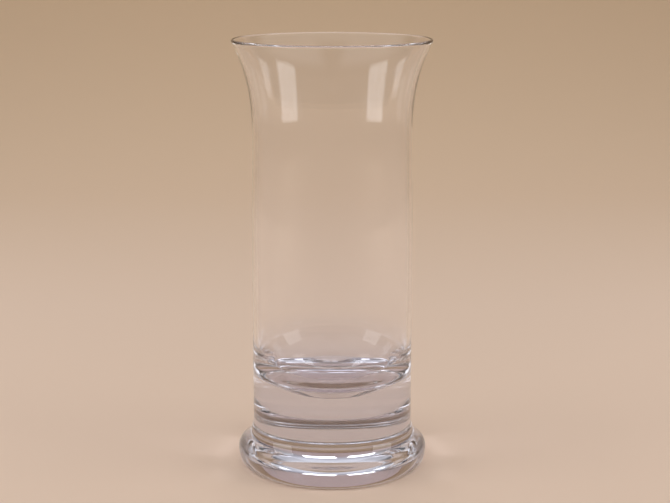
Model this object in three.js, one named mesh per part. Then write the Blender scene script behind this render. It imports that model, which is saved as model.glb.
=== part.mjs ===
// Footed beer glass in clear hand-worked glass: a blown bowl, a solid base under it and a wide
// round-edged foot. The three are separate gathers of glass that are joined hot, end to end, so they
// meet face to face on flat discs across the axis.
// Millimetres, +Z up. The origin is on the axis, on the table that the glass stands on.
import * as THREE from 'three';

// Straight wall that all three pieces share
const bodyRadius = 31.85;

// Foot: round edge, convex shoulder, hollow that sweeps up into the wall, raised underside
const footOverhang = 6.1;        // from the straight wall out to the widest point
const footWidestHeight = 6.0;    // of the widest point above the table
const edgeInset = 2.4;           // from the widest point in to the ring that touches the table
const shoulderWidth = 3.35;      // half axes of the shoulder's ellipse
const shoulderRise = 3.4;
const shoulderTurn = 55;         // degrees that the shoulder turns before the hollow takes over
const hollowRise = 10.2;         // from the end of the shoulder up to the straight wall
const neckHeight = 0.5;          // straight wall above the hollow, up to the joint
const standingRingWidth = 5.5;   // flat ring that touches the table
const undersideRise = 2.5;       // of the underside at the axis

// Base: solid glass between the foot and the bowl
const baseHeight = 7.0;

// Bowl: dished floor, tapered corner, straight wall, slight waist, flared mouth, fire-polished lip
const floorThickness = 2.87;     // under the lowest point of the hollow
const cavityDepth = 140.6;       // from the lip down to that point
const dishRadius = 36.8;         // of the curve in the middle of the floor
const dishSlope = 20.6;          // degrees that the floor rises from there out to its edge
const floorRadius = 24.6;        // of the floor's edge, where the wall turns up
const edgeRound = 0.7;           // of that turn, along each side of it
const taperHeight = 14.8;        // from the floor's edge up to the straight wall
const taperLean = 16.3;          // degrees that the wall leans out at the floor's edge
const taperLowerHandle = 2.8;    // lengths of the taper's two curve handles
const taperUpperHandle = 8.5;
const wallThickness = 1.8;
const waistInset = 0.65;         // that the wall draws in at the waist
const waistHeight = 38.0;        // over which it draws in
const flareHeight = 37.0;        // from the waist up to the lip
const rimOverhang = 7.1;         // of the lip beyond the straight wall
const lipThickness = 1.3;
const flareLean = 27.5;          // degrees that the flare leans out at the lip
const flareLowerHandle = 14.0;   // lengths of the flare's two curve handles
const flareUpperHandle = 12.4;

// Fineness of the solids: sides round the axis, steps along each curve of an outline
const sides = 60;
const curveSteps = 5;

// Heights of the joints and of the bowl's features, worked up from the table
const shoulderAngle = THREE.MathUtils.degToRad(shoulderTurn);
const shoulderEndHeight = footWidestHeight + shoulderRise * Math.sin(shoulderAngle);
const hollowTopHeight = shoulderEndHeight + hollowRise;
const footJointHeight = hollowTopHeight + neckHeight;
const bowlJointHeight = footJointHeight + baseHeight;
const cavityFloorHeight = bowlJointHeight + floorThickness;
const rimHeight = cavityFloorHeight + cavityDepth;

// A closed solid from the half outline of one piece, drawn from axis to axis as radius and height
function turned(outline) {
  const points = outline.getPoints(curveSteps);
  points[0].x = 0;
  points[points.length - 1].x = 0;
  const solid = new THREE.LatheGeometry(points, sides);
  solid.rotateX(Math.PI / 2);
  return solid;
}

function footOutline() {
  const footRadius = bodyRadius + footOverhang;
  const ringOuterRadius = footRadius - edgeInset;
  const ringInnerRadius = ringOuterRadius - standingRingWidth;
  const shoulderCentre = footRadius - shoulderWidth;
  const outline = new THREE.Path();
  outline.moveTo(0, undersideRise);
  outline.quadraticCurveTo(ringInnerRadius / 2, undersideRise, ringInnerRadius, 0);
  outline.lineTo(ringOuterRadius, 0);
  outline.absellipse(ringOuterRadius, footWidestHeight, edgeInset, footWidestHeight, -Math.PI / 2, 0);
  outline.absellipse(shoulderCentre, footWidestHeight, shoulderWidth, shoulderRise, 0, shoulderAngle);

  // The hollow leaves along the shoulder's own slope and ends upright on the wall
  const shoulderEndRadius = shoulderCentre + shoulderWidth * Math.cos(shoulderAngle);
  const slope = shoulderRise / (shoulderWidth * Math.tan(shoulderAngle));
  const hollowCornerHeight = shoulderEndHeight + slope * (shoulderEndRadius - bodyRadius);
  outline.quadraticCurveTo(bodyRadius, hollowCornerHeight, bodyRadius, hollowTopHeight);
  outline.lineTo(bodyRadius, footJointHeight);
  outline.lineTo(0, footJointHeight);
  return outline;
}

function baseOutline() {
  const outline = new THREE.Path();
  outline.moveTo(0, footJointHeight);
  outline.lineTo(bodyRadius, footJointHeight);
  outline.lineTo(bodyRadius, bowlJointHeight);
  outline.lineTo(0, bowlJointHeight);
  return outline;
}

function bowlOutline() {
  const waistTop = rimHeight - flareHeight;
  const waistBottom = waistTop - waistHeight;
  const waistHandle = waistHeight / 3;
  const waistRadius = bodyRadius - waistInset;
  const innerRadius = bodyRadius - wallThickness;
  const innerWaistRadius = waistRadius - wallThickness;

  // The floor is an arc in the middle and a cone from there to its edge
  const dish = THREE.MathUtils.degToRad(dishSlope);
  const taper = THREE.MathUtils.degToRad(taperLean);
  const arcEnd = new THREE.Vector2(
    dishRadius * Math.sin(dish), cavityFloorHeight + dishRadius * (1 - Math.cos(dish))
  );
  const floorEdge = new THREE.Vector2(
    floorRadius, arcEnd.y + (floorRadius - arcEnd.x) * Math.tan(dish)
  );
  const taperTop = floorEdge.y + taperHeight;
  const upWall = new THREE.Vector2(Math.sin(taper), Math.cos(taper));
  const downFloor = new THREE.Vector2(-Math.cos(dish), -Math.sin(dish));
  const taperEnd = floorEdge.clone().addScaledVector(upWall, edgeRound);
  const taperHandle = taperEnd.clone().addScaledVector(upWall, taperLowerHandle);
  const coneStart = floorEdge.clone().addScaledVector(downFloor, edgeRound);

  // The lip is a half round square to the flare, so both walls run into it without a crease
  const lean = THREE.MathUtils.degToRad(flareLean);
  const along = new THREE.Vector2(Math.sin(lean), Math.cos(lean));
  const outward = new THREE.Vector2(Math.cos(lean), -Math.sin(lean));
  const lipRadius = lipThickness / 2;
  const lipCentre = new THREE.Vector2(bodyRadius + rimOverhang - lipRadius, rimHeight - lipRadius);
  const outerEnd = lipCentre.clone().addScaledVector(outward, lipRadius);
  const innerEnd = lipCentre.clone().addScaledVector(outward, -lipRadius);
  const outerHandle = outerEnd.clone().addScaledVector(along, -flareUpperHandle);
  const innerHandle = innerEnd.clone().addScaledVector(along, -flareUpperHandle);
  const lowerHandleHeight = waistTop + flareLowerHandle;

  const outline = new THREE.Path();
  outline.moveTo(0, bowlJointHeight);
  outline.lineTo(bodyRadius, bowlJointHeight);
  outline.lineTo(bodyRadius, waistBottom);
  outline.bezierCurveTo(
    bodyRadius, waistBottom + waistHandle,
    waistRadius, waistTop - waistHandle,
    waistRadius, waistTop
  );
  outline.bezierCurveTo(
    waistRadius, lowerHandleHeight,
    outerHandle.x, outerHandle.y,
    outerEnd.x, outerEnd.y
  );
  outline.absarc(lipCentre.x, lipCentre.y, lipRadius, -lean, Math.PI - lean);
  outline.bezierCurveTo(
    innerHandle.x, innerHandle.y,
    innerWaistRadius, lowerHandleHeight,
    innerWaistRadius, waistTop
  );
  outline.bezierCurveTo(
    innerWaistRadius, waistTop - waistHandle,
    innerRadius, waistBottom + waistHandle,
    innerRadius, waistBottom
  );
  outline.lineTo(innerRadius, taperTop);
  outline.bezierCurveTo(
    innerRadius, taperTop - taperUpperHandle,
    taperHandle.x, taperHandle.y,
    taperEnd.x, taperEnd.y
  );
  outline.quadraticCurveTo(floorEdge.x, floorEdge.y, coneStart.x, coneStart.y);
  outline.lineTo(arcEnd.x, arcEnd.y);
  outline.absarc(0, cavityFloorHeight + dishRadius, dishRadius, dish - Math.PI / 2, -Math.PI / 2, true);
  return outline;
}

// Clear glass with a faint grey-pink cast, fire polished on every surface
function clearGlass() {
  return new THREE.MeshStandardMaterial({
    color: 0xe6dfdc,
    roughness: 0.03,
    metalness: 0,
    transparent: true,
    opacity: 0.35,
  });
}

function piece(name, outline) {
  const mesh = new THREE.Mesh(turned(outline), clearGlass());
  mesh.name = name;
  return mesh;
}

const beerGlass = new THREE.Group();
beerGlass.name = 'beer_glass';
beerGlass.add(piece('foot', footOutline()));
beerGlass.add(piece('base', baseOutline()));
beerGlass.add(piece('bowl', bowlOutline()));

export default beerGlass;
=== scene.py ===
"""Footed beer glass in clear hand-worked glass, dressed over its solids.

Laid out as an add-on. Property groups hold the sizes, the finish and the studio, one operator makes each
piece of glass, one makes the studio, and main() calls them in order. Lengths are in metres, +Z is up, and
the glass stands on the origin.
"""
import math

import bpy
from bpy.props import FloatProperty, FloatVectorProperty, IntProperty, PointerProperty
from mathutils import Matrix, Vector


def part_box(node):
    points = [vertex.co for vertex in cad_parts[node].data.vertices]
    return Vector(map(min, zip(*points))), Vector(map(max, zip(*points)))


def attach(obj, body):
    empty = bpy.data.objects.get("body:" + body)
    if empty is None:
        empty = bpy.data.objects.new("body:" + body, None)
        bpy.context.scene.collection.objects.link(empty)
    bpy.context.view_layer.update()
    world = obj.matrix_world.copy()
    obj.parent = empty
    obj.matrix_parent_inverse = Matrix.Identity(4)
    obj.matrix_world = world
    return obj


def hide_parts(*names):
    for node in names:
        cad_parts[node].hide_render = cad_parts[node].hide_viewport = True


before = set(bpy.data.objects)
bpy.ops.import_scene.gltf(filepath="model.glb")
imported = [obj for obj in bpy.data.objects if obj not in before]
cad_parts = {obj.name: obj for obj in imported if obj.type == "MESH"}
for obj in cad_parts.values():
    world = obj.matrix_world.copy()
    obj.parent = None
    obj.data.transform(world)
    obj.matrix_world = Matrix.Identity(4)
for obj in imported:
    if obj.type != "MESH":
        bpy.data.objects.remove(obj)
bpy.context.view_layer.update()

bl_info = {
    "name": "Footed beer glass",
    "version": (1, 0, 0),
    "blender": (4, 5, 0),
    "location": "View3D > Sidebar > Beer glass",
    "description": "Makes a clear footed beer glass from its bowl, base and foot, and a paper studio",
    "category": "Add Mesh",
}

MM = 0.001
BODY = "root"
FOOT_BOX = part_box("foot")
BASE_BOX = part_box("base")
BOWL_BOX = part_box("bowl")

# Steps along each curve of the outlines and of the paper
STEPS = {
    "underside": 40, "ring": 4, "edge": 24, "shoulder": 20, "hollow": 40, "base": 8,
    "wall": 30, "waist": 16, "flare": 32, "lip": 20, "inner wall": 16, "taper": 32,
    "floor edge": 10, "cone": 12, "dish": 32, "paper": 24,
}

# Turning: points this close are one, a bend past this stays sharp, and ripples fade out this near the axis
WELD = 0.001 * MM
CREASE = math.radians(40)
RIPPLE_FADE = 10.0 * MM
NO_JOINT = -1.0

# Glass: shares of the wave's fineness along each axis, height over which the bowl loses the cast of solid
# glass, and how often light turns inside the glass before it is given up
WAVE_STRETCH = (0.35, 0.35, 1.0)
THINNING = 26.0 * MM
BOUNCES = 96

# Standing ring: height that rubs on tables and that is painted grey as the contact shadow under the ring,
# width of the grit, and the levels of grit that scratch
RUB_AND_SHADE_HEIGHT = 0.25 * MM
RUB_GRIT = 0.6 * MM
GRIT_LEVELS = (0.4, 0.65)

# Paper: it lies a hair below the glass, bends up behind it, and is painted darker between two depths as
# shade towards the back
PAPER_HALF_WIDTH = 6.0
PAPER_FRONT = -6.0
PAPER_BEND = 0.6
PAPER_RADIUS = 0.45
PAPER_TOP = 0.6
PAPER_DROP = 0.2 * MM
PAPER_SHADE = (0.25, 1.02)
PAPER_ROUGHNESS = 0.9

# Lamps: place of the right one of each pair, the point that both face, width and height; the pair behind
# is shifted a little to the left
WINDOW_PLACE = (0.58, -0.185, 0.245)
WINDOW_AIM = (0.0, 0.0, 0.245)
WINDOW_SIZE = (0.33, 0.37)
EDGE_PLACE = (0.548, 0.244, 0.242)
EDGE_AIM = (0.0, 0.0, 0.01)
EDGE_SIZE = (0.16, 0.2)
BACK_PLACE = (0.165, 0.65, 0.79)
BACK_AIM = (0.0, 0.0, 0.0)
BACK_SIZE = (0.25, 0.11)
BACK_SHIFT = -0.07

# Tent: directions of the middles of its top and sides, and the limits between which the edge of each cloth
# fades, as shares of a direction along an axis
TOP_LEAN = math.radians(5)
SIDE_LEAN = math.radians(30)
TENT_TOP = (0.0, -math.sin(TOP_LEAN), math.cos(TOP_LEAN))
TENT_SIDE = (math.cos(SIDE_LEAN), -math.sin(SIDE_LEAN))
TOP_EDGE = (0.62, 0.88)
SIDE_EDGE = (0.48, 0.68)
HEM_EDGE = (0.36, 0.52)
BACK_EDGE = (0.45, 0.72)

# Camera: width of the image in pixels and of the sensor in millimetres
PHOTO_WIDTH = 670
SENSOR_WIDTH = 36.0


def number(name, description, default):
    """A plain number."""
    return FloatProperty(name=name, description=description, default=default)


def length(name, description, default):
    """A length that shows in the sidebar with its unit."""
    return FloatProperty(name=name, description=description, default=default, unit="LENGTH", precision=5)


def angle(name, description, degrees):
    """An angle that shows in degrees."""
    return FloatProperty(name=name, description=description, default=math.radians(degrees), subtype="ANGLE")


def linear(hex_colour):
    """Linear red, green and blue of an sRGB colour written as six hex digits."""
    channels = [int(hex_colour[i:i + 2], 16) / 255 for i in (0, 2, 4)]
    return [c / 12.92 if c <= 0.04045 else ((c + 0.055) / 1.055) ** 2.4 for c in channels]


def colour(name, description, hex_colour):
    """A colour that the sidebar shows with a picker."""
    return FloatVectorProperty(
        name=name, description=description, default=linear(hex_colour), subtype="COLOR", min=0.0, max=1.0
    )


class GlassSizes(bpy.types.PropertyGroup):
    """Sizes of the three pieces of glass."""

    wall_radius: length("Wall radius", "Outside of the straight wall", BASE_BOX[1][0])
    foot_radius: length("Foot radius", "Foot at its widest", FOOT_BOX[1][0])
    rim_radius: length("Rim radius", "Outside of the lip", BOWL_BOX[1][0])
    rim_height: length("Rim height", "Top of the lip above the table", BOWL_BOX[1][2])
    foot_joint: length("Foot joint", "Height where the base meets the foot", FOOT_BOX[1][2])
    bowl_joint: length("Bowl joint", "Height where the bowl meets the base", BOWL_BOX[0][2])
    joint_gap: length("Joint gap", "Hair gap that keeps light out of the joined faces", 0.01 * MM)
    widest_height: length("Widest height", "Height of the foot's widest point", 6.0 * MM)
    edge_inset: length("Edge inset", "From the widest point in to the standing ring", 2.4 * MM)
    ring_width: length("Standing ring", "Width of the ring that touches the table", 5.5 * MM)
    underside_rise: length("Underside rise", "Height of the raised underside at the axis", 2.5 * MM)
    shoulder_width: length("Shoulder width", "Half axis of the foot's shoulder, outwards", 3.35 * MM)
    shoulder_rise: length("Shoulder rise", "Half axis of the foot's shoulder, upwards", 3.4 * MM)
    shoulder_turn: angle("Shoulder turn", "Turn of the shoulder before the hollow takes over", 55)
    neck_height: length("Neck height", "Straight wall between the hollow and the foot joint", 0.5 * MM)
    floor_thickness: length("Floor thickness", "Glass of the bowl under its hollow", 2.87 * MM)
    dish_radius: length("Dish radius", "Curve in the middle of the floor", 36.8 * MM)
    dish_slope: angle("Dish slope", "Rise of the floor from there out to its edge", 20.6)
    floor_radius: length("Floor radius", "Edge of the floor, where the wall turns up", 24.6 * MM)
    edge_round: length("Edge round", "Rounding of that turn, along each side of it", 0.7 * MM)
    taper_height: length("Taper height", "From the floor's edge up to the straight wall", 14.8 * MM)
    taper_lean: angle("Taper lean", "Lean of the wall at the floor's edge", 16.3)
    taper_lower_handle: length("Taper lower handle", "Curve handle of the taper at the floor", 2.8 * MM)
    taper_upper_handle: length("Taper upper handle", "Curve handle of the taper at the wall", 8.5 * MM)
    wall_thickness: length("Wall thickness", "Glass of the straight wall", 1.8 * MM)
    waist_inset: length("Waist inset", "How far the wall draws in at the waist", 0.65 * MM)
    waist_height: length("Waist height", "Height over which the wall draws in", 38.0 * MM)
    flare_height: length("Flare height", "From the waist up to the lip", 37.0 * MM)
    flare_lower_handle: length("Flare lower handle", "Curve handle of the flare at the waist", 14.0 * MM)
    flare_upper_handle: length("Flare upper handle", "Curve handle of the flare at the lip", 12.4 * MM)
    flare_lean: angle("Flare lean", "Lean of the flare at the lip", 27.5)
    lip_thickness: length("Lip thickness", "Thickness of the fire-polished lip", 1.3 * MM)
    ripple_height: length("Ripple height", "How far hand work leaves the wall from true", 0.03 * MM)
    ripple_length: length("Ripple length", "Distance from one ripple to the next", 30.0 * MM)
    sides: IntProperty(name="Sides", description="Facets round the axis", default=256, min=16)


class GlassFinish(bpy.types.PropertyGroup):
    """Look of the glass."""

    tint: colour("Tint", "Faint cast of the thin glass of the bowl", "FEFEFF")
    solid_tint: colour("Solid tint", "Cast of the thick glass of the base and foot", "E4E7F6")
    ior: number("Index of refraction", "Soda glass is about 1.52", 1.52)
    roughness: number("Roughness", "Of a fire-polished surface", 0.0)
    ring_roughness: number("Ring wear", "Roughness where it slides on tables", 0.32)
    # The ring's grey is painted shade: it stands for the dark contact shadow on the paper under the
    # standing ring
    ring_painted_shade: colour("Ring painted shade", "Grey painted on the ring as the contact shadow under it", "B4AEAA")
    wave_length: length("Wave length", "Width of the faint waves in the surface", 14.0 * MM)
    wave_depth: length("Wave depth", "Depth of the waves in the bowl", 0.006 * MM)
    solid_wave_depth: length("Solid wave depth", "Depth of the waves in the base and foot", 0.03 * MM)


class Studio(bpy.types.PropertyGroup):
    """Paper, lamps, tent and camera; a brightness of 1 looks white."""

    paper: colour("Paper", "Colour of the paper sweep under the glass", "F3DAC3")
    # The far colour is painted shade: the sweep is painted darker towards the back and up the bend
    far_painted_shade: colour("Far painted shade", "Colour that the sweep shades into behind the glass", "E8CAA5")
    window_brightness: number("Window brightness", "Of the two windows", 2.1)
    back_brightness: number("Back brightness", "Of the pair of lamps behind", 3.0)
    edge_brightness: number("Edge brightness", "Of the lamps behind at the sides", 1.3)
    cloth: colour("Cloth", "Colour of the cloth of the tent", "FFFDFF")
    top_brightness: number("Top brightness", "Of the cloth overhead", 0.88)
    side_brightness: number("Side brightness", "Of the cloth at the sides", 0.6)
    back_cloth: colour("Back cloth", "Colour of the cloth behind, above the paper", "FFDFD2")
    cloth_brightness: number("Back cloth brightness", "Of that cloth", 0.5)
    hem: colour("Hem", "Colour of the low hem of the tent at the sides", "9DB4D6")
    hem_brightness: number("Hem brightness", "Of that hem", 0.03)
    room: colour("Room", "Colour of the dim room in front, where the tent is open", "C8D2E2")
    room_brightness: number("Room brightness", "Of the dim room", 0.02)
    camera_distance: length("Camera distance", "From the axis, along the table", 568.6 * MM)
    camera_height: length("Camera height", "Above the table", 209.9 * MM)
    camera_pitch: angle("Camera pitch", "Below the horizon", 12.284)
    focal_pixels: number("Focal length", "In pixels of the image", 1466.1)
    axis_offset: number("Axis offset", "Glass left of the image's middle, in pixels", 2.9)


def add_node(tree, kind, inputs=None, **settings):
    """Add a node, set its properties, and set or link its inputs by name or number."""
    node = tree.nodes.new(kind)
    for name, value in settings.items():
        setattr(node, name, value)
    for key, value in (inputs or {}).items():
        socket = node.inputs[key]
        if isinstance(value, bpy.types.NodeSocket):
            tree.links.new(value, socket)
        else:
            socket.default_value = value
    return node


# Outlines: half sections of the pieces as radius and height, from axis to axis, with the glass on the left

def bezier(points, steps):
    """Points along a Bezier curve of any degree, without its first point."""
    found = []
    for step in range(1, steps + 1):
        t = step / steps
        level = [Vector(p) for p in points]
        while len(level) > 1:
            level = [a.lerp(b, t) for a, b in zip(level, level[1:])]
        found.append(level[0])
    return found


def ellipse(centre, half_axes, start, end, steps):
    """Points along an arc of an ellipse, without its first point."""
    found = []
    for step in range(1, steps + 1):
        t = start + (end - start) * step / steps
        across = centre[0] + half_axes[0] * math.cos(t)
        up = centre[1] + half_axes[1] * math.sin(t)
        found.append(Vector((across, up)))
    return found


def foot_outline(s):
    """Raised underside, standing ring, round edge, shoulder, and the hollow that sweeps up to the wall."""
    ring_outer = s.foot_radius - s.edge_inset
    ring_inner = ring_outer - s.ring_width
    edge_axes = (s.edge_inset, s.widest_height)
    shoulder_centre = s.foot_radius - s.shoulder_width
    shoulder_axes = (s.shoulder_width, s.shoulder_rise)
    underside = [(0, s.underside_rise), (ring_inner / 2, s.underside_rise), (ring_inner, 0)]
    outline = [Vector((0, s.underside_rise))]
    outline += bezier(underside, STEPS["underside"])
    outline += bezier([(ring_inner, 0), (ring_outer, 0)], STEPS["ring"])
    outline += ellipse((ring_outer, s.widest_height), edge_axes, -math.pi / 2, 0, STEPS["edge"])
    outline += ellipse(
        (shoulder_centre, s.widest_height), shoulder_axes, 0, s.shoulder_turn, STEPS["shoulder"]
    )

    # The hollow leaves along the shoulder's own slope and ends upright on the wall
    shoulder_end = outline[-1]
    slope = s.shoulder_rise / (s.shoulder_width * math.tan(s.shoulder_turn))
    corner = (s.wall_radius, shoulder_end.y + slope * (shoulder_end.x - s.wall_radius))
    hollow_top = (s.wall_radius, s.foot_joint - s.neck_height)
    outline += bezier([shoulder_end, corner, hollow_top], STEPS["hollow"])
    outline += [Vector((s.wall_radius, s.foot_joint)), Vector((0, s.foot_joint))]
    return outline


def base_outline(s):
    """Solid block with the straight wall of its neighbours, a hair short of both."""
    low = s.foot_joint + s.joint_gap
    high = s.bowl_joint - s.joint_gap
    outline = [Vector((0, low)), Vector((s.wall_radius, low))]
    outline += bezier([(s.wall_radius, low), (s.wall_radius, high)], STEPS["base"])
    return outline + [Vector((0, high))]


def bowl_outline(s):
    """Outside of the wall, waist and flare, the round lip, and down the inside to the floor."""
    waist_top = s.rim_height - s.flare_height
    waist_bottom = waist_top - s.waist_height
    waist_handle = s.waist_height / 3
    waist = s.wall_radius - s.waist_inset
    inner = s.wall_radius - s.wall_thickness
    inner_waist = waist - s.wall_thickness

    # The floor is an arc in the middle and a cone from there to its edge
    floor = s.bowl_joint + s.floor_thickness
    dish_axes = (s.dish_radius, s.dish_radius)
    rise = s.dish_radius * (1 - math.cos(s.dish_slope))
    arc_end = Vector((s.dish_radius * math.sin(s.dish_slope), floor + rise))
    cone_rise = (s.floor_radius - arc_end.x) * math.tan(s.dish_slope)
    floor_edge = Vector((s.floor_radius, arc_end.y + cone_rise))
    taper_top = floor_edge.y + s.taper_height
    up_wall = Vector((math.sin(s.taper_lean), math.cos(s.taper_lean)))
    down_floor = Vector((-math.cos(s.dish_slope), -math.sin(s.dish_slope)))
    taper_end = floor_edge + up_wall * s.edge_round
    cone_start = floor_edge + down_floor * s.edge_round

    # The lip is a half round square to the flare, so both walls run into it without a crease
    along = Vector((math.sin(s.flare_lean), math.cos(s.flare_lean)))
    outward = Vector((along.y, -along.x))
    lip = s.lip_thickness / 2
    lip_centre = Vector((s.rim_radius - lip, s.rim_height - lip))
    outer_end = lip_centre + outward * lip
    inner_end = lip_centre - outward * lip
    handle = along * s.flare_upper_handle
    low = waist_top + s.flare_lower_handle

    waist_curve = [
        (s.wall_radius, waist_bottom), (s.wall_radius, waist_bottom + waist_handle),
        (waist, waist_top - waist_handle), (waist, waist_top),
    ]
    flare_curve = [(waist, waist_top), (waist, low), outer_end - handle, outer_end]
    inner_flare_curve = [inner_end, inner_end - handle, (inner_waist, low), (inner_waist, waist_top)]
    inner_waist_curve = [
        (inner_waist, waist_top), (inner_waist, waist_top - waist_handle),
        (inner, waist_bottom + waist_handle), (inner, waist_bottom),
    ]
    taper_curve = [
        (inner, taper_top), (inner, taper_top - s.taper_upper_handle),
        taper_end + up_wall * s.taper_lower_handle, taper_end,
    ]
    outline = [Vector((0, s.bowl_joint)), Vector((s.wall_radius, s.bowl_joint))]
    outline += bezier([(s.wall_radius, s.bowl_joint), (s.wall_radius, waist_bottom)], STEPS["wall"])
    outline += bezier(waist_curve, STEPS["waist"])
    outline += bezier(flare_curve, STEPS["flare"])
    outline += ellipse(lip_centre, (lip, lip), -s.flare_lean, math.pi - s.flare_lean, STEPS["lip"])
    outline += bezier(inner_flare_curve, STEPS["flare"])
    outline += bezier(inner_waist_curve, STEPS["waist"])
    outline += bezier([(inner, waist_bottom), (inner, taper_top)], STEPS["inner wall"])
    outline += bezier(taper_curve, STEPS["taper"])
    outline += bezier([taper_end, floor_edge, cone_start], STEPS["floor edge"])
    outline += bezier([cone_start, arc_end], STEPS["cone"])
    dish_start = s.dish_slope - math.pi / 2
    outline += ellipse((0, floor + s.dish_radius), dish_axes, dish_start, -math.pi / 2, STEPS["dish"])
    outline[-1].x = 0
    return outline


# Turning: one tree spins an outline round the axis

def turning_tree():
    """Geometry Nodes tree that turns a line of outline points into a closed piece of glass."""
    tree = bpy.data.node_groups.new("turned glass", "GeometryNodeTree")
    sockets = {
        "Outline": "NodeSocketGeometry", "Sides": "NodeSocketInt",
        "Ripple Height": "NodeSocketFloat", "Ripple Length": "NodeSocketFloat",
        "Lower Joint": "NodeSocketFloat", "Upper Joint": "NodeSocketFloat",
        "Glass": "NodeSocketMaterial", "Joint": "NodeSocketMaterial",
    }
    for name, kind in sockets.items():
        tree.interface.new_socket(name=name, in_out="INPUT", socket_type=kind)
    tree.interface.new_socket(name="Piece", in_out="OUTPUT", socket_type="NodeSocketGeometry")
    given = add_node(tree, "NodeGroupInput").outputs
    place = add_node(tree, "GeometryNodeInputPosition").outputs[0]

    # A sheet with one row for each outline point and one column for each side, closed by a last column
    count = add_node(
        tree, "GeometryNodeAttributeDomainSize", {0: given["Outline"]}
    ).outputs["Point Count"]
    columns = add_node(tree, "ShaderNodeMath", {0: given["Sides"], 1: 1.0}, operation="ADD").outputs[0]
    sheet = add_node(
        tree, "GeometryNodeMeshGrid", {"Vertices X": count, "Vertices Y": columns}
    ).outputs["Mesh"]
    index = add_node(tree, "GeometryNodeInputIndex").outputs[0]
    share = add_node(tree, "ShaderNodeMath", {0: index, 1: columns}, operation="DIVIDE").outputs[0]
    row = add_node(tree, "ShaderNodeMath", {0: share}, operation="FLOOR").outputs[0]
    column = add_node(
        tree, "ShaderNodeMath", {0: index, 1: columns}, operation="FLOORED_MODULO"
    ).outputs[0]

    # Each row goes to its outline point, each column round the axis, clockwise so that faces point outwards
    sample = {"Geometry": given["Outline"], "Index": row}
    point = add_node(tree, "GeometryNodeSampleIndex", sample, data_type="FLOAT_VECTOR")
    tree.links.new(place, point.inputs["Value"])
    outline = add_node(tree, "ShaderNodeSeparateXYZ", {0: point.outputs[0]}).outputs
    per_side = add_node(
        tree, "ShaderNodeMath", {0: -math.tau, 1: given["Sides"]}, operation="DIVIDE"
    ).outputs[0]
    turned = add_node(tree, "ShaderNodeMath", {0: column, 1: per_side}, operation="MULTIPLY").outputs[0]
    cosine = add_node(tree, "ShaderNodeMath", {0: turned}, operation="COSINE").outputs[0]
    sine = add_node(tree, "ShaderNodeMath", {0: turned}, operation="SINE").outputs[0]
    x = add_node(tree, "ShaderNodeMath", {0: outline["X"], 1: cosine}, operation="MULTIPLY").outputs[0]
    y = add_node(tree, "ShaderNodeMath", {0: outline["X"], 1: sine}, operation="MULTIPLY").outputs[0]
    spun = add_node(tree, "ShaderNodeCombineXYZ", {"X": x, "Y": y, "Z": outline["Z"]}).outputs[0]
    placed = add_node(tree, "GeometryNodeSetPosition", {"Geometry": sheet, "Position": spun}).outputs[0]
    closed = add_node(
        tree, "GeometryNodeMergeByDistance", {"Geometry": placed, "Distance": WELD}
    ).outputs[0]

    # Hand work leaves the wall slightly out of round; the shift fades out towards the axis
    flat = add_node(
        tree, "ShaderNodeVectorMath", {0: place, 1: (1.0, 1.0, 0.0)}, operation="MULTIPLY"
    ).outputs["Vector"]
    reach = add_node(tree, "ShaderNodeVectorMath", {0: flat}, operation="LENGTH").outputs["Value"]
    fade = add_node(tree, "ShaderNodeMapRange", {"Value": reach, "From Max": RIPPLE_FADE}).outputs[0]
    outward = add_node(tree, "ShaderNodeVectorMath", {0: flat}, operation="NORMALIZE").outputs["Vector"]
    per_metre = add_node(
        tree, "ShaderNodeMath", {0: 1.0, 1: given["Ripple Length"]}, operation="DIVIDE"
    ).outputs[0]
    noise = add_node(
        tree, "ShaderNodeTexNoise", {"Vector": place, "Scale": per_metre, "Detail": 1.0}
    ).outputs["Fac"]
    centred = add_node(tree, "ShaderNodeMath", {0: noise, 1: 0.5}, operation="SUBTRACT").outputs[0]
    faded = add_node(tree, "ShaderNodeMath", {0: centred, 1: fade}, operation="MULTIPLY").outputs[0]
    shift = add_node(
        tree, "ShaderNodeMath", {0: faded, 1: given["Ripple Height"]}, operation="MULTIPLY"
    ).outputs[0]
    offset = add_node(
        tree, "ShaderNodeVectorMath", {0: outward, "Scale": shift}, operation="SCALE"
    ).outputs["Vector"]
    rippled = add_node(tree, "GeometryNodeSetPosition", {"Geometry": closed, "Offset": offset}).outputs[0]

    # Smooth all over, sharp only where the wall meets a joint
    smooth = add_node(tree, "GeometryNodeSetShadeSmooth", {"Geometry": rippled}).outputs[0]
    bend = add_node(tree, "GeometryNodeInputMeshEdgeAngle").outputs["Unsigned Angle"]
    crease = add_node(
        tree, "FunctionNodeCompare", {"A": bend, "B": CREASE}, operation="GREATER_THAN"
    ).outputs[0]
    sharpened = {"Geometry": smooth, "Selection": crease, "Shade Smooth": False}
    creased = add_node(tree, "GeometryNodeSetShadeSmooth", sharpened, domain="EDGE").outputs[0]

    # Joint discs lie at the joint heights
    height = add_node(tree, "ShaderNodeSeparateXYZ", {0: place}).outputs["Z"]
    at_joint = []
    for name in ("Lower Joint", "Upper Joint"):
        gap = add_node(
            tree, "ShaderNodeMath", {0: height, 1: given[name]}, operation="SUBTRACT"
        ).outputs[0]
        size = add_node(tree, "ShaderNodeMath", {0: gap}, operation="ABSOLUTE").outputs[0]
        near = add_node(
            tree, "FunctionNodeCompare", {"A": size, "B": WELD}, operation="LESS_THAN"
        ).outputs[0]
        at_joint.append(near)
    joint = add_node(
        tree, "FunctionNodeBooleanMath", {0: at_joint[0], 1: at_joint[1]}, operation="OR"
    ).outputs[0]
    real = add_node(tree, "GeometryNodeRealizeInstances", {"Geometry": creased}).outputs[0]
    glazed = add_node(
        tree, "GeometryNodeSetMaterial", {"Geometry": real, "Material": given["Glass"]}
    ).outputs[0]
    discs = {"Geometry": glazed, "Selection": joint, "Material": given["Joint"]}
    jointed = add_node(tree, "GeometryNodeSetMaterial", discs).outputs[0]
    add_node(tree, "NodeGroupOutput", {"Piece": jointed})
    return tree


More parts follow.
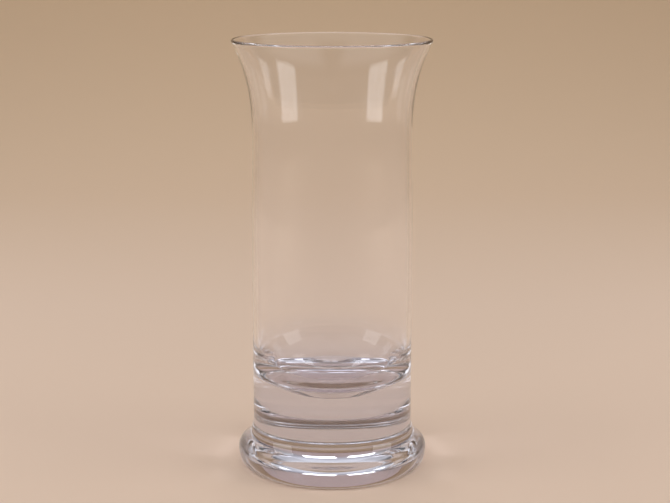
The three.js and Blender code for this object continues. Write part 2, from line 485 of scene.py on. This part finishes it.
def turn(name, outline, glass, lower_joint=NO_JOINT, upper_joint=NO_JOINT):
    """Turn an outline into a piece: a plain mesh at the origin, with its glass and its joint discs."""
    sizes = bpy.context.scene.beer_glass_sizes
    line = bpy.data.meshes.new(name)
    points = [(p.x, 0.0, p.y) for p in outline]
    line.from_pydata(points, [(i, i + 1) for i in range(len(points) - 1)], [])
    piece = bpy.data.objects.new(name, line)
    bpy.context.scene.collection.objects.link(piece)
    tree = bpy.data.node_groups.get("turned glass") or turning_tree()
    values = {
        "Sides": sizes.sides, "Ripple Height": sizes.ripple_height, "Ripple Length": sizes.ripple_length,
        "Lower Joint": lower_joint, "Upper Joint": upper_joint, "Glass": glass, "Joint": fused_joint(),
    }
    modifier = piece.modifiers.new("turn", "NODES")
    modifier.node_group = tree
    for socket in tree.interface.items_tree:
        if socket.name in values:
            modifier[socket.identifier] = values[socket.name]
    bpy.context.view_layer.update()
    evaluated = piece.evaluated_get(bpy.context.evaluated_depsgraph_get())
    mesh = bpy.data.meshes.new_from_object(evaluated)
    piece.modifiers.remove(modifier)
    piece.data = mesh
    mesh.name = name
    bpy.data.meshes.remove(line)
    if not mesh.polygons:
        raise RuntimeError(f"{name} was not turned")
    return piece


def seat(piece, node):
    """Put a piece of glass in the place of its solid, on the glass's one body."""
    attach(piece, BODY)
    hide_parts(node)


# Materials

def new_material(name):
    """A material and its empty node tree, or no tree where the material is there already."""
    material = bpy.data.materials.get(name)
    if material:
        return material, None
    material = bpy.data.materials.new(name)
    material.use_nodes = True
    material.node_tree.nodes.clear()
    return material, material.node_tree


def clear_glass(name, solid=False, worn_and_shaded=False):
    """Soda glass, worked by hand and fire polished: clear, sharp reflections that sway with the faint waves
    left by turning, a grey cast where it is thick, and a rough ring where it slides on tables, with grey
    painted on that ring as the contact shadow under it."""
    material, tree = new_material(name)
    if tree is None:
        return material
    finish = bpy.context.scene.beer_glass_finish
    tint = (*finish.solid_tint, 1.0)
    depth = finish.solid_wave_depth if solid else finish.wave_depth
    where = add_node(tree, "ShaderNodeTexCoord").outputs["Object"]
    height = add_node(tree, "ShaderNodeSeparateXYZ", {0: where}).outputs["Z"]

    # Waves run round the axis, so they are three times as long that way as up the wall
    stretch = add_node(
        tree, "ShaderNodeMapping", {"Vector": where, "Scale": WAVE_STRETCH}
    ).outputs[0]
    waves = add_node(
        tree, "ShaderNodeTexNoise", {"Vector": stretch, "Scale": 1.0 / finish.wave_length, "Detail": 1.0}
    ).outputs["Fac"]
    bump = add_node(
        tree, "ShaderNodeBump", {"Height": waves, "Strength": 1.0, "Distance": depth}
    ).outputs[0]

    # The bowl has the cast of the solid glass at its floor, and loses it up to where its wall is thin
    if not solid:
        sizes = bpy.context.scene.beer_glass_sizes
        floor = sizes.bowl_joint + sizes.floor_thickness
        thin = {"Value": height, "From Min": floor, "From Max": floor + THINNING}
        share = add_node(tree, "ShaderNodeMapRange", thin).outputs[0]
        casts = {0: share, 6: tint, 7: (*finish.tint, 1.0)}
        tint = add_node(tree, "ShaderNodeMix", casts, data_type="RGBA").outputs[2]

    shader = add_node(
        tree, "ShaderNodeBsdfPrincipled",
        {
            "Base Color": tint, "Roughness": finish.roughness, "IOR": finish.ior,
            "Transmission Weight": 1.0, "Normal": bump,
        },
    )

    # Where the ring touches the table, grit has scratched it; the grey over the same band is painted shade,
    # the contact shadow on the paper under the ring
    if worn_and_shaded:
        low = {"Value": height, "From Min": RUB_AND_SHADE_HEIGHT, "From Max": 0.0, "To Min": 0.0, "To Max": 1.0}
        rubbed_and_shaded = add_node(tree, "ShaderNodeMapRange", low).outputs[0]
        grit = add_node(
            tree, "ShaderNodeTexNoise", {"Vector": where, "Scale": 1.0 / RUB_GRIT, "Detail": 4.0}
        ).outputs["Fac"]
        coarse = {
            "Value": grit, "From Min": GRIT_LEVELS[0], "From Max": GRIT_LEVELS[1],
            "To Max": finish.ring_roughness,
        }
        scratches = add_node(tree, "ShaderNodeMapRange", coarse).outputs[0]
        wear = add_node(
            tree, "ShaderNodeMath", {0: rubbed_and_shaded, 1: scratches}, operation="MULTIPLY"
        ).outputs[0]
        tree.links.new(wear, shader.inputs["Roughness"])
        # Painted shade: grey mixed over the ring's tint as the contact shadow beneath it
        casts = {0: rubbed_and_shaded, 6: tint, 7: (*finish.ring_painted_shade, 1.0)}
        painted_shade = add_node(tree, "ShaderNodeMix", casts, data_type="RGBA").outputs[2]
        tree.links.new(painted_shade, shader.inputs["Base Color"])
    add_node(tree, "ShaderNodeOutputMaterial", {"Surface": shader.outputs[0]})
    return material


def fused_joint():
    """Glass joined hot to the same glass: nothing reflects or bends there, so the eye sees no joint."""
    material, tree = new_material("soda glass, fused joint")
    if tree is None:
        return material
    shader = add_node(
        tree, "ShaderNodeBsdfPrincipled",
        {"Base Color": (1.0, 1.0, 1.0, 1.0), "Roughness": 0.0, "IOR": 1.0, "Transmission Weight": 1.0},
    )
    add_node(tree, "ShaderNodeOutputMaterial", {"Surface": shader.outputs[0]})
    return material


def matt_paper():
    """Uncoated paper, rolled matt: no gloss, only a soft tone, with painted shade that deepens it to the
    back.
    """
    material, tree = new_material("paper, rolled matt")
    if tree is None:
        return material
    studio = bpy.context.scene.beer_glass_studio
    where = add_node(tree, "ShaderNodeTexCoord").outputs["Object"]
    back = add_node(tree, "ShaderNodeSeparateXYZ", {0: where}).outputs["Y"]
    # Painted shade: the paper runs from its own colour to the darker far colour between two depths
    deep = {"Value": back, "From Min": PAPER_SHADE[0], "From Max": PAPER_SHADE[1]}
    share = add_node(tree, "ShaderNodeMapRange", deep).outputs[0]
    tones = {0: share, 6: (*studio.paper, 1.0), 7: (*studio.far_painted_shade, 1.0)}
    tone = add_node(tree, "ShaderNodeMix", tones, data_type="RGBA").outputs[2]
    shader = add_node(
        tree, "ShaderNodeBsdfPrincipled", {"Base Color": tone, "Roughness": PAPER_ROUGHNESS}
    )
    add_node(tree, "ShaderNodeOutputMaterial", {"Surface": shader.outputs[0]})
    return material


# Studio

def make_sweep():
    """A sheet of paper that lies flat under the glass and curves up behind it."""
    centre = (PAPER_BEND, PAPER_RADIUS)
    section = [Vector((PAPER_FRONT, 0)), Vector((PAPER_BEND, 0))]
    section += ellipse(centre, (PAPER_RADIUS, PAPER_RADIUS), -math.pi / 2, 0, STEPS["paper"])
    section.append(Vector((PAPER_BEND + PAPER_RADIUS, PAPER_TOP)))
    edges = (-PAPER_HALF_WIDTH, PAPER_HALF_WIDTH)
    points = [(x, p.x, p.y - PAPER_DROP) for p in section for x in edges]
    faces = [(2 * i, 2 * i + 1, 2 * i + 3, 2 * i + 2) for i in range(len(section) - 1)]
    mesh = bpy.data.meshes.new("paper_sweep")
    mesh.from_pydata(points, [], faces)
    mesh.polygons.foreach_set("use_smooth", [True] * len(faces))
    mesh.materials.append(matt_paper())
    sweep = bpy.data.objects.new("paper_sweep", mesh)
    bpy.context.scene.collection.objects.link(sweep)


def add_lamp(name, side, place, aim, size, brightness, shift=0.0):
    """A soft box on one side of the glass that faces a point; a shift moves both of them sideways."""
    lamp = bpy.data.lights.new(name, "AREA")
    lamp.shape = "RECTANGLE"
    lamp.size, lamp.size_y = size
    lamp.energy = brightness * math.pi * size[0] * size[1]
    stand = bpy.data.objects.new(name, lamp)
    stand.location = (side * place[0] + shift, place[1], place[2])
    facing = Vector((aim[0] + shift, aim[1], aim[2])) - stand.location
    stand.rotation_mode = "QUATERNION"
    stand.rotation_quaternion = facing.to_track_quat("-Z", "Y")
    bpy.context.scene.collection.objects.link(stand)


def make_lamps():
    """Three pairs: small lamps at the sides behind, windows at the sides, and lamps high up behind."""
    studio = bpy.context.scene.beer_glass_studio
    for side in (-1, 1):
        add_lamp("edge_lamp", side, EDGE_PLACE, EDGE_AIM, EDGE_SIZE, studio.edge_brightness)
        add_lamp("window", side, WINDOW_PLACE, WINDOW_AIM, WINDOW_SIZE, studio.window_brightness)
        add_lamp("back_lamp", side, BACK_PLACE, BACK_AIM, BACK_SIZE, studio.back_brightness, BACK_SHIFT)


def lit(cloth, brightness):
    """Colour of a cloth that glows at a brightness."""
    return (*[c * brightness for c in cloth], 1.0)


def laid(tree, under, over, along, limits):
    """One cloth over another, from none of it at the first limit to all of it at the second."""
    edge = {"Value": along, "From Min": limits[0], "From Max": limits[1]}
    share = add_node(tree, "ShaderNodeMapRange", edge, interpolation_type="SMOOTHSTEP").outputs[0]
    return add_node(tree, "ShaderNodeMix", {0: share, 6: under, 7: over}, data_type="RGBA").outputs[2]


def make_tent():
    """Cloth overhead, behind and at the sides, with a dim hem at the sides, open to a dim room in front."""
    studio = bpy.context.scene.beer_glass_studio
    world = bpy.data.worlds.new("tent")
    bpy.context.scene.world = world
    world.use_nodes = True
    tree = world.node_tree
    tree.nodes.clear()
    where = add_node(tree, "ShaderNodeTexCoord").outputs["Generated"]
    axes = add_node(tree, "ShaderNodeSeparateXYZ", {0: where}).outputs
    outward = add_node(tree, "ShaderNodeMath", {0: axes["X"]}, operation="ABSOLUTE").outputs[0]
    to_side = add_node(
        tree, "ShaderNodeMath", {0: outward, 1: TENT_SIDE[0]}, operation="MULTIPLY"
    ).outputs[0]
    aside = add_node(
        tree, "ShaderNodeMath", {0: axes["Y"], 1: TENT_SIDE[1], 2: to_side}, operation="MULTIPLY_ADD"
    ).outputs[0]
    overhead = add_node(
        tree, "ShaderNodeVectorMath", {0: where, 1: TENT_TOP}, operation="DOT_PRODUCT"
    ).outputs["Value"]

    hem = lit(studio.hem, studio.hem_brightness)
    sides = laid(tree, hem, lit(studio.cloth, studio.side_brightness), axes["Z"], HEM_EDGE)
    room = lit(studio.room, studio.room_brightness)
    glow = laid(tree, room, lit(studio.back_cloth, studio.cloth_brightness), axes["Y"], BACK_EDGE)
    glow = laid(tree, glow, sides, aside, SIDE_EDGE)
    glow = laid(tree, glow, lit(studio.cloth, studio.top_brightness), overhead, TOP_EDGE)
    light = add_node(tree, "ShaderNodeBackground", {"Color": glow})
    add_node(tree, "ShaderNodeOutputWorld", {"Surface": light.outputs[0]})


def make_camera():
    """The camera at the photograph's place, fitted to the glass's outline."""
    studio = bpy.context.scene.beer_glass_studio
    lens = bpy.data.cameras.new("camera")
    lens.sensor_width = SENSOR_WIDTH
    lens.lens = SENSOR_WIDTH * studio.focal_pixels / PHOTO_WIDTH
    camera = bpy.data.objects.new("camera", lens)
    camera.location = (0.0, -studio.camera_distance, studio.camera_height)
    yaw = -math.atan(studio.axis_offset / studio.focal_pixels)
    camera.rotation_euler = (math.pi / 2 - studio.camera_pitch, 0.0, yaw)
    bpy.context.scene.collection.objects.link(camera)
    bpy.context.scene.camera = camera


# Operators

class MakeFoot(bpy.types.Operator):
    """Turn the foot, with its round edge, hollow and raised underside."""

    bl_idname = "beer_glass.make_foot"
    bl_label = "Foot"

    def execute(self, context):
        sizes = context.scene.beer_glass_sizes
        glass = clear_glass("soda glass, pressed foot", solid=True, worn_and_shaded=True)
        seat(turn("glass_foot", foot_outline(sizes), glass, upper_joint=sizes.foot_joint), "foot")
        return {"FINISHED"}


class MakeBase(bpy.types.Operator):
    """Turn the block of solid glass between the foot and the bowl."""

    bl_idname = "beer_glass.make_base"
    bl_label = "Base"

    def execute(self, context):
        sizes = context.scene.beer_glass_sizes
        glass = clear_glass("soda glass, solid gather", solid=True)
        low = sizes.foot_joint + sizes.joint_gap
        high = sizes.bowl_joint - sizes.joint_gap
        seat(turn("glass_base", base_outline(sizes), glass, low, high), "base")
        return {"FINISHED"}


class MakeBowl(bpy.types.Operator):
    """Turn the bowl, from its joint round the lip to its floor."""

    bl_idname = "beer_glass.make_bowl"
    bl_label = "Bowl"

    def execute(self, context):
        sizes = context.scene.beer_glass_sizes
        glass = clear_glass("soda glass, blown bowl")
        seat(turn("glass_bowl", bowl_outline(sizes), glass, lower_joint=sizes.bowl_joint), "bowl")
        return {"FINISHED"}


class MakeStudio(bpy.types.Operator):
    """Lay the paper, set up the lamps, the tent and the camera, and let light turn often in the glass."""

    bl_idname = "beer_glass.make_studio"
    bl_label = "Studio"

    def execute(self, context):
        make_sweep()
        make_lamps()
        make_tent()
        make_camera()
        scene = context.scene
        scene.view_settings.view_transform = "Standard"
        scene.cycles.max_bounces = BOUNCES
        scene.cycles.transmission_bounces = BOUNCES
        scene.cycles.glossy_bounces = BOUNCES
        scene.cycles.blur_glossy = 0.0
        return {"FINISHED"}


class GlassPanel(bpy.types.Panel):
    """Sizes, finish and studio, with a button for each operator."""

    bl_idname = "VIEW3D_PT_beer_glass"
    bl_label = "Beer glass"
    bl_space_type = "VIEW_3D"
    bl_region_type = "UI"
    bl_category = "Beer glass"

    def draw(self, context):
        for operator in OPERATORS:
            self.layout.operator(operator.bl_idname)
        for group in GROUPS:
            settings = getattr(context.scene, group)
            for name in settings.bl_rna.properties.keys():
                if name not in ("rna_type", "name"):
                    self.layout.prop(settings, name)


OPERATORS = (MakeFoot, MakeBase, MakeBowl, MakeStudio)
GROUPS = {"beer_glass_sizes": GlassSizes, "beer_glass_finish": GlassFinish, "beer_glass_studio": Studio}


def register():
    """Register the classes and give each scene its settings."""
    for cls in (*GROUPS.values(), *OPERATORS, GlassPanel):
        bpy.utils.register_class(cls)
    for name, group in GROUPS.items():
        setattr(bpy.types.Scene, name, PointerProperty(type=group))


def unregister():
    """Take the settings and the classes away again."""
    for name in GROUPS:
        delattr(bpy.types.Scene, name)
    for cls in (GlassPanel, *reversed(OPERATORS), *reversed(GROUPS.values())):
        bpy.utils.unregister_class(cls)


def main():
    """Make the glass from the table up, then the studio."""
    register()
    bpy.ops.beer_glass.make_foot()
    bpy.ops.beer_glass.make_base()
    bpy.ops.beer_glass.make_bowl()
    bpy.ops.beer_glass.make_studio()


if __name__ == "__main__":
    main()
